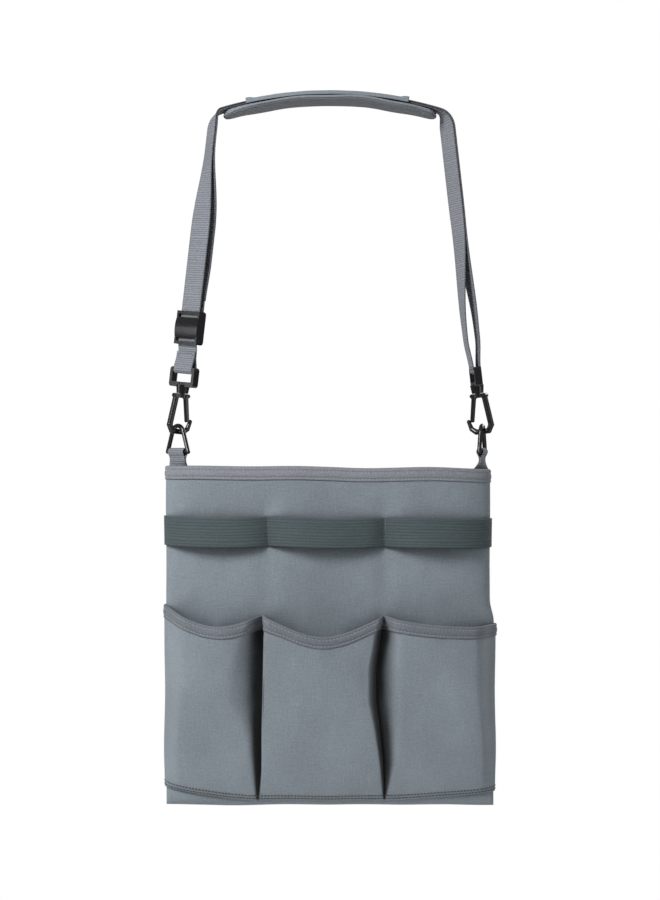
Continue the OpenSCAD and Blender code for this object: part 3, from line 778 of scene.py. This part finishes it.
def side_up(side):
    return np.array([-side * math.sin(LEAN), 0.0, math.cos(LEAN)])


def side_in(side):
    return np.array([-side * math.cos(LEAN), 0.0, -math.sin(LEAN)])


def web_turn(side, s):
    """Turn of the webbing about the limb at height s, in degrees."""
    low, high, start, length = LEFT_WEB_TURN if side == LEFT else RIGHT_WEB_TURN
    turn = mix(low, high, (s - start) / length)
    return turn if side == LEFT else 180 - turn


def place(mid, inward, turn, off):
    """A place on the strap: its middle, width direction and inward normal."""
    c, s = math.cos(math.radians(turn)), math.sin(math.radians(turn))
    normal = s * inward + c * BACKWARDS
    return (mid + off * normal, c * inward - s * BACKWARDS, normal)


def limb_place(side, s, off):
    return place(hook_point(side) + s * side_up(side), side_in(side), web_turn(side, s), off)


def on_arch(a, y, r):
    """A point at angle a and radius r on the pad's arch."""
    return np.array([r * math.sin(a), y, r * math.cos(a) - PAD_R])


def arch_place(a, off):
    mid = on_arch(a, 0.0, ARCH_R)
    return place(mid, np.array([-math.sin(a), 0.0, -math.cos(a)]), 90, off)


def corner_place(side, t, off):
    """Round the end of the pad, on a curve that leaves the limb and the arch smoothly."""
    a = hook_point(side) + LIMB_TOP * side_up(side)
    c = arch_place(side * ARCH_HALF, 0.0)[0]
    da, dc = side_up(side), np.array([math.cos(ARCH_HALF), 0.0, -side * math.sin(ARCH_HALF)])
    gap = c - a
    b = a + da * (gap[0] * dc[2] - gap[2] * dc[0]) / (da[0] * dc[2] - da[2] * dc[0])
    mid = a * (1 - t) ** 2 + b * 2 * t * (1 - t) + c * t * t
    d = unit((b - a) * (1 - t) + (c - b) * t)
    turn = mix(web_turn(side, LIMB_TOP), 90, t)
    return place(mid, -side * np.array([d[2], 0.0, -d[0]]), turn, off)


def fold_place(side, s, r, degrees, depth=0.0):
    """Webbing folded round a bar at height s, from the outer face (0) to the inner (180)."""
    mid, across, normal = limb_place(side, s, depth)
    up = side_up(side)
    c, w = math.cos(math.radians(degrees)), math.sin(math.radians(degrees))
    return (mid - r * c * normal - r * w * up, across, c * normal + w * up)


def near_bar(s):
    """How far each layer of the left limb stands from the middle of the pair."""
    return float(mix(FOLD_R, PITCH, (s - BAR_S) / (14 * MM)))


def bowed(s):
    """How far each layer of the right limb stands from the middle of the pair."""
    if s < 100 * MM:
        return float(mix(FOLD_R, 5.8 * MM, (s - BAR_S) / (30 * MM)))
    return float(mix(5.8 * MM, PITCH, (s - 105 * MM) / (95 * MM)))


def flipped(strap_place):
    """A place with its faces changed over, where the webbing has folded back."""
    mid, across, normal = strap_place
    return (mid, across, -normal)


def stand_off(s):
    """How far the inner run stands behind the outer run on the left limb."""
    near = mix(LOOP_BAR_Y + WEB_T, 6.9 * MM, (s - 125 * MM) / (40 * MM))
    return float(mix(near, PITCH, (s - 195 * MM) / (90 * MM)))


def limb_run(side, low, high, step, off):
    """Places from one height of a limb to another, off(s) from its middle."""
    return [limb_place(side, s, off(s)) for s in np.arange(low, high, step)]


def corner_run(side, off):
    """Places round a corner: up from the left limb, or down to the right one."""
    steps = np.arange(0, 1, 0.1)
    return [corner_place(side, t, off) for t in (steps if side == LEFT else steps[:0:-1])]


def arch_run(low, high, off, count):
    return [arch_place(a, off) for a in np.linspace(low, high, count)]


def build_outer_run():
    """From its sewn end down round the left bar, over the shoulder and round the right bar."""
    def behind(s):
        return -near_bar(s)

    def crossing(s):
        return float(mix(PITCH, -PITCH, (s - TAIL_S) / (11 * MM)))

    def outside(s):
        return -bowed(s)

    places = [flipped(at) for at in limb_run(LEFT, TAIL_S, 61 * MM, -2.5 * MM, behind)]
    places += [flipped(fold_place(LEFT, BAR_S, FOLD_R, a)) for a in range(0, 181, 20)]
    places += limb_run(LEFT, 62 * MM, TAIL_S, 2.5 * MM, near_bar)
    places += limb_run(LEFT, TAIL_S, LIMB_TOP, 3 * MM, crossing)
    places += corner_run(LEFT, -PITCH) + arch_run(-ARCH_HALF, ARCH_HALF, -PITCH, 41)
    places += corner_run(RIGHT, -PITCH) + limb_run(RIGHT, LIMB_TOP, 62 * MM, -4 * MM, outside)
    places += [fold_place(RIGHT, BAR_S, FOLD_R, a) for a in range(0, 181, 20)]
    ribbon("strap_outer_webbing", places, "strap", ["strap_outer_run"])


def build_inner_run():
    """Two lengths that meet inside the pad's sleeve: the right one rides on the strap, the left on
    no body with its transform baked in.
    """
    left = limb_run(LEFT, LOOP_TOP, LIMB_TOP, 4 * MM, stand_off)
    left += corner_run(LEFT, PITCH) + arch_run(-ARCH_HALF, 0, PITCH, 21)
    piece = ribbon("strap_inner_webbing", left, None, ["strap_inner_run"])
    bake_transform(piece)
    right = arch_run(0, ARCH_HALF, PITCH, 21) + corner_run(RIGHT, PITCH)
    right += limb_run(RIGHT, LIMB_TOP, 61 * MM, -4 * MM, bowed)
    right.append(limb_place(RIGHT, BAR_S + 0.05 * MM, FOLD_R))
    ribbon("strap_inner_right_webbing", right, "strap", ["strap_inner_run"])


def build_end_loop():
    """The webbing's end, round the slider's rear bar and sewn back to itself."""
    r = LOOP_BAR_R + LAYER_GAP + WEB_T / 2
    near = WEB_T / 2 + 0.02 * MM
    up = np.linspace(LOOP_TOP, SLIDER_S + 5 * MM, 8)
    places = [limb_place(LEFT, s, LOOP_BAR_Y - near) for s in up[2:]]
    places += [fold_place(LEFT, SLIDER_S, r, a, LOOP_BAR_Y) for a in range(-40, 221, 20)]
    places += [flipped(limb_place(LEFT, s, LOOP_BAR_Y + near)) for s in up[::-1]]
    ribbon("strap_end_webbing", places, "slider", ["strap_end_loop"], width=WEB_W - 0.6 * MM)
    face = LOOP_BAR_Y + near + WEB_T / 2
    box = box_stitch(LEFT, SLIDER_S + 10 * MM, SLIDER_S + 22 * MM, face, 1)
    stitches("strap_end_stitches", box, "slider", pitch=2.8 * MM, length=2.3 * MM)


def box_stitch(side, low, high, off, sign):
    """A sewn box, and then the cross in it, on the face that sign points out of."""
    def at(x, s):
        mid, across, normal = limb_place(side, s, off)
        return mid + across * x, normal * sign

    half = 9.5 * MM
    corners = [(-half, low), (half, low), (half, high), (-half, high)]
    lines = list(zip(corners, corners[1:] + corners[:1])) + list(zip(corners[:2], corners[2:]))
    paths = []
    for (x0, s0), (x1, s1) in lines:
        points = [at(x0 + (x1 - x0) * t, s0 + (s1 - s0) * t) for t in np.linspace(0, 1, 6)]
        paths.append(([p for p, _ in points], [n for _, n in points]))
    return paths


def build_strap_stitches():
    """A plain sewn box at the left run's end, on both of its faces."""
    box = []
    for sign in (-1, 1):
        box += box_stitch(LEFT, 70 * MM, 75.5 * MM, sign * (PITCH + WEB_T / 2), sign)[:4]
    stitches("strap_tail_stitches", box, "strap", pitch=2.6 * MM, length=2.1 * MM,
             thread=DARK_THREAD)


# ---------- shoulder pad ----------

pad_low, pad_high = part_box("pad_edge_binding")
PAD_HALF = (pad_high[0] - pad_low[0]) / 2
PAD_SIDE = (pad_high[1] - pad_low[1]) / 2
# Half width at its tips, and the lengths over which it narrows to them and rounds off
PAD_TIP_SIDE = 13 * MM
PAD_TAPER = 36 * MM
PAD_END = 9 * MM
# Height of the seam between its covers, and how far its edges stand up
PAD_SEAM = 3.0 * MM
PAD_CUP = 2.4 * MM
PAD_SQUARENESS = 0.6


def pad_side(x, inset=0.0):
    """Half width of the pad at x, rounded off at its tips."""
    side = mix(PAD_SIDE, PAD_TIP_SIDE, (abs(x) - (PAD_HALF - PAD_TAPER)) / PAD_TAPER) - inset
    over = max(0.0, (abs(x) - (PAD_HALF - PAD_END)) / PAD_END)
    return float(side) * math.sqrt(max(0.0, 1 - (0.92 * over) ** 2))


def signed_power(value, power):
    return math.copysign(abs(value) ** power, value)


def pad_slack(x, y):
    """Waves in the pad's edges, where it isn't held by the sleeve."""
    edge = float(ease((abs(y) - 8 * MM) / (12 * MM)))
    return 2.0 * MM * edge * ripple(x, y * 0.3, 24.0, 77.0)


def pillow(name, low, high, inset, cup, material, nodes):
    """A rounded slab of the pad that follows its arch, between two heights above its underside."""
    turns = np.linspace(0, 2 * math.pi, 49)[:-1]
    xs = (PAD_HALF - inset) * side_steps(61)
    verts, uvs = [], []
    for x in xs:
        side = pad_side(x, inset)
        end = 1 - 0.8 * max(0.0, (abs(x) - (PAD_HALF - PAD_END)) / PAD_END) ** 3
        for a in turns:
            y = side * signed_power(math.cos(a), PAD_SQUARENESS)
            rise = signed_power(math.sin(a), PAD_SQUARENESS) * end
            h = (low + high) / 2 + (high - low) / 2 * rise
            soft = 0.3 * MM * ripple(x, y, 40.0, 71.0) + pad_slack(x, y) + cup * (y / PAD_SIDE) ** 2
            verts.append(on_arch(x / PAD_R, y, PAD_R + h + soft))
            uvs.append((x, y + (0.2 if a > math.pi else 0.0)))
    piece = link(name, verts, tube_faces(len(xs), len(turns)), uvs, material, "strap", nodes)


def build_pad():
    pillow("pad_underside", 0.0, PAD_SEAM + 0.6 * MM, 0.5 * MM, PAD_CUP, LINING,
           ["pad_bottom_cover", "pad_foam"])
    pillow("pad_top", PAD_SEAM - 1.4 * MM, PAD_T - 0.2 * MM, 0.4 * MM, 0.3 * PAD_CUP, CANVAS,
           ["pad_top_cover"])
    build_pad_piping()
    build_pad_sleeve()


def pad_rim(height, inset):
    """Points round the pad's edge at a height above its underside."""
    xs = (PAD_HALF - inset) * side_steps(80)
    loop = [(x, pad_side(x, inset)) for x in xs] + [(x, -pad_side(x, inset)) for x in xs[::-1]]
    points = []
    for x, y in loop:
        r = PAD_R + height + pad_slack(x, y) + PAD_CUP * (y / PAD_SIDE) ** 2
        points.append(on_arch(x / PAD_R, y, r))
    return points


def build_pad_piping():
    """Corded tape sewn round the edge between the two covers."""
    path = pad_rim(PAD_SEAM, 0.3 * MM)
    n, sides, radius = len(path), 10, 0.9 * MM
    lengths = run_lengths(np.array(path + path[:1]))
    verts, uvs = [], []
    for k in range(n + 1):
        p = path[k % n]
        t = unit(path[(k + 1) % n] - path[(k - 1) % n])
        up = unit(np.array([p[0], 0.0, p[2] + PAD_R]))
        out = unit(np.cross(t, up))
        for j in range(sides):
            a = 2 * math.pi * j / sides
            verts.append(p + (out * math.cos(a) + up * math.sin(a)) * radius)
            uvs.append((radius * a, lengths[k]))
    faces = grid_faces(n + 1, sides, wrap=True)
    link("pad_piping", verts, faces, uvs, TAPE, "strap", ["pad_edge_binding"])


def build_pad_sleeve():
    """The strip over the webbing: flat flanges sewn down, and a tunnel between them."""
    sleeve_low, sleeve_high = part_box("pad_sleeve")
    half = (sleeve_high[1] - sleeve_low[1]) / 2
    wall = WEB_W / 2 + 1.6 * MM
    roof = ARCH_R + PITCH + WEB_T / 2 + LAYER_GAP + 1.0 * MM - PAD_R
    floor = PAD_T + 0.9 * MM
    ys = np.linspace(-half, half, 41)

    def height(y, end):
        crown = 0.35 * MM * (1 - (y / wall) ** 2)
        lift = ease((wall + 1.2 * MM - abs(y)) / (2.4 * MM))
        return floor + (roof - floor + crown) * float(lift) + 1.6 * MM * end * float(lift)

    columns = []
    for x in np.linspace(sleeve_low[0], sleeve_high[0], 64):
        a = math.asin(x / (PAD_R + roof))
        end = float(ease(2 - min(x - sleeve_low[0], sleeve_high[0] - x) / (4 * MM)))
        column = []
        for y in ys:
            r = PAD_R + height(y, end) + 0.25 * MM * ripple(x, y, 60.0, 33.0)
            column.append(on_arch(a, y, r))
        columns.append(column)
    points = np.array(columns)
    piece = cloth("pad_sleeve_cloth", points, CANVAS, "strap", ["pad_sleeve"],
                  thickness=0.9 * MM)
    rows = []
    r = PAD_R + floor + 0.1 * MM
    for y in (-half + 2.0 * MM, half - 2.0 * MM):
        xs = np.linspace(sleeve_low[0] + 2 * MM, sleeve_high[0] - 2 * MM, 50)
        path = [on_arch(math.asin(x / r), y, r) for x in xs]
        rows.append((path, [unit(p + np.array([0.0, 0.0, PAD_R])) for p in path]))
    stitches("pad_sleeve_stitches", rows, "strap")


# ---------- ring tabs ----------

TAB_W = 23 * MM
RING_R = 2.1 * MM


def build_tab(side, name, joint):
    """Webbing folded over the ring's bar, turning until it lies flat on the back panel."""
    axis = JOINTS[joint]["axis"]
    turn = math.atan2(-axis[1], axis[0])
    fold = RING_R + 0.4 * MM + WEB_T / 2
    low = BAR_Z - 50 * MM
    flat_z = BAR_Z - 31 * MM

    def at(z, layer):
        t = float(ease((BAR_Z - 8 * MM - z) / (BAR_Z - 8 * MM - flat_z)))
        a = turn * (1 - t)
        mid = np.array([side * (HOOK_X - 3 * MM * t), (BACK_Y - 1.6 * MM) * t, z])
        across = np.array([math.cos(a), -math.sin(a), 0.0])
        normal = np.array([math.sin(a), math.cos(a), 0.0])
        return mid + normal * layer, across, normal

    def spread(z):
        return float(mix(fold, WEB_T / 2 + 0.05 * MM, (BAR_Z - z) / (6.5 * MM)))

    zs = np.linspace(low, BAR_Z - 0.5 * MM, 26)
    front = [at(z, -spread(z)) for z in zs]
    crown = []
    for degrees in range(0, 181, 15):
        mid, across, normal = at(BAR_Z, 0.0)
        c, s = math.cos(math.radians(degrees)), math.sin(math.radians(degrees))
        up = np.array([0.0, 0.0, 1.0])
        crown.append((mid - normal * fold * c + up * fold * s, across, normal * c - up * s))
    back = [(mid, across, -normal) for mid, across, normal in (at(z, spread(z)) for z in zs[::-1])]
    ribbon(name + "_webbing", front + crown + back, "bag", [name], width=TAB_W)
    z = BAR_Z - 8.2 * MM
    rows = []
    for layer, sign in ((-1, -1), (1, 1)):
        mid, across, normal = at(z, layer * (WEB_T + 0.1 * MM))
        half = TAB_W / 2 - 1.5 * MM
        points = [mid + across * x for x in np.linspace(-half, half, 6)]
        rows.append((points, [normal * sign] * len(points)))
    stitches(name + "_stitches", rows, "bag", pitch=2.6 * MM, length=2.1 * MM)


# ---------- plastic hardware: the CAD nodes, with softened edges ----------

HARDWARE = ("left_swivel_base", "right_swivel_base", "strap_slider", "left_hook", "right_hook",
            "left_gate", "right_gate", "left_ring", "right_ring")


def finish_hardware():
    for name in HARDWARE:
        node = frame["nodes"][name]
        node.data.materials.clear()
        node.data.materials.append(PLASTIC)
        soft = node.modifiers.new("soft edges", "BEVEL")
        soft.width = 0.45 * MM
        soft.segments = 3
        soft.limit_method = "ANGLE"
        soft.angle_limit = math.radians(38)
        soft.harden_normals = True


# ---------- floor, lights and camera ----------

FLOOR_HALF = 1.0
FLOOR_DROP = 0.30
# Name, place in metres, power in watts and size in metres of each area light
LIGHTS = (
    ("key", (-1.05, -1.40, 0.70), 46, 0.75),
    ("fill", (1.5, -0.9, -0.3), 5, 1.0),
    ("left strip", (-1.6, -0.35, -0.2), 3.5, 0.5),
    ("back", (1.5, 1.7, 0.6), 18, 1.0),
)
# Strength of the room's light from below and from above
ROOM_LIGHT = (0.06, 0.32)
CAMERA_PLACE = (0.0, -2.16, -0.3312)
CAMERA_LENS = 90


def build_stage():
    """A pale floor well below the hanging bag, soft light all round, and the area lights."""
    floor_mesh = bpy.data.meshes.new("floor")
    z = BOTTOM_Z - FLOOR_DROP
    corners = [(FLOOR_HALF * x, FLOOR_HALF * y, z) for x, y in ((-1, -1), (1, -1), (1, 1), (-1, 1))]
    floor_mesh.from_pydata(corners, [], [(0, 1, 2, 3)])
    floor = bpy.data.objects.new("floor", floor_mesh)
    bpy.context.scene.collection.objects.link(floor)
    g = Graph("pale_floor")
    place = g.add("ShaderNodeTexCoord", out=3)
    grain = g.noise(place, 30.0, 4.0)
    pale = g.tinted((0.86, 0.86, 0.86), g.varied(1.0, grain, 0.015))
    floor_mesh.materials.append(g.finish(pale, 0.8, g.bumped(grain, 0.2 * MM, 0.3)))

    build_world()
    for light in LIGHTS:
        add_light(*light)


def build_world():
    """White behind the bag, and a dimmer room that is brightest overhead to light it."""
    world = bpy.data.worlds.new("studio")
    world.use_nodes = True
    tree = world.node_tree
    room = tree.nodes["Background"]
    room.inputs["Color"].default_value = (1, 1, 1, 1)
    seen = tree.nodes.new("ShaderNodeBackground")
    seen.inputs["Color"].default_value = (1, 1, 1, 1)
    place = tree.nodes.new("ShaderNodeTexCoord")
    height = tree.nodes.new("ShaderNodeSeparateXYZ")
    strength = tree.nodes.new("ShaderNodeMapRange")
    for name, value in zip(("From Min", "From Max", "To Min", "To Max"), (-1.0, 1.0, *ROOM_LIGHT)):
        strength.inputs[name].default_value = value
    path = tree.nodes.new("ShaderNodeLightPath")
    either = tree.nodes.new("ShaderNodeMixShader")
    tree.links.new(place.outputs["Generated"], height.inputs["Vector"])
    tree.links.new(height.outputs["Z"], strength.inputs["Value"])
    tree.links.new(strength.outputs["Result"], room.inputs["Strength"])
    tree.links.new(path.outputs["Is Camera Ray"], either.inputs[0])
    tree.links.new(room.outputs["Background"], either.inputs[1])
    tree.links.new(seen.outputs["Background"], either.inputs[2])
    tree.links.new(either.outputs["Shader"], tree.nodes["World Output"].inputs["Surface"])
    bpy.context.scene.world = world


def add_light(name, place_m, power, size):
    """A square area light that faces the middle of the object."""
    data = bpy.data.lights.new(name, "AREA")
    data.energy = power
    data.size = size
    light = bpy.data.objects.new(name, data)
    bpy.context.scene.collection.objects.link(light)
    light.location = place_m
    aim = Vector((0, 0, BOTTOM_Z / 2)) - Vector(place_m)
    light.rotation_euler = aim.to_track_quat("-Z", "Y").to_euler()


def add_camera():
    camera_data = bpy.data.cameras.new("camera")
    camera_data.lens = CAMERA_LENS
    camera_data.sensor_width = 36
    camera = bpy.data.objects.new("camera", camera_data)
    bpy.context.scene.collection.objects.link(camera)
    camera.location = CAMERA_PLACE
    camera.rotation_euler = (math.radians(90), 0, 0)
    bpy.context.scene.camera = camera
    bpy.context.scene.view_settings.view_transform = "Standard"


add_camera()
build_stage()
build_front_panel()
build_back_panel()
build_mouth_binding()
build_elastic()
build_pockets()
build_outer_run()
build_inner_run()
build_end_loop()
build_strap_stitches()
build_pad()
build_tab(LEFT, "left_ring_tab", "left_ring_tilt")
build_tab(RIGHT, "right_ring_tab", "right_ring_tilt")
finish_hardware()
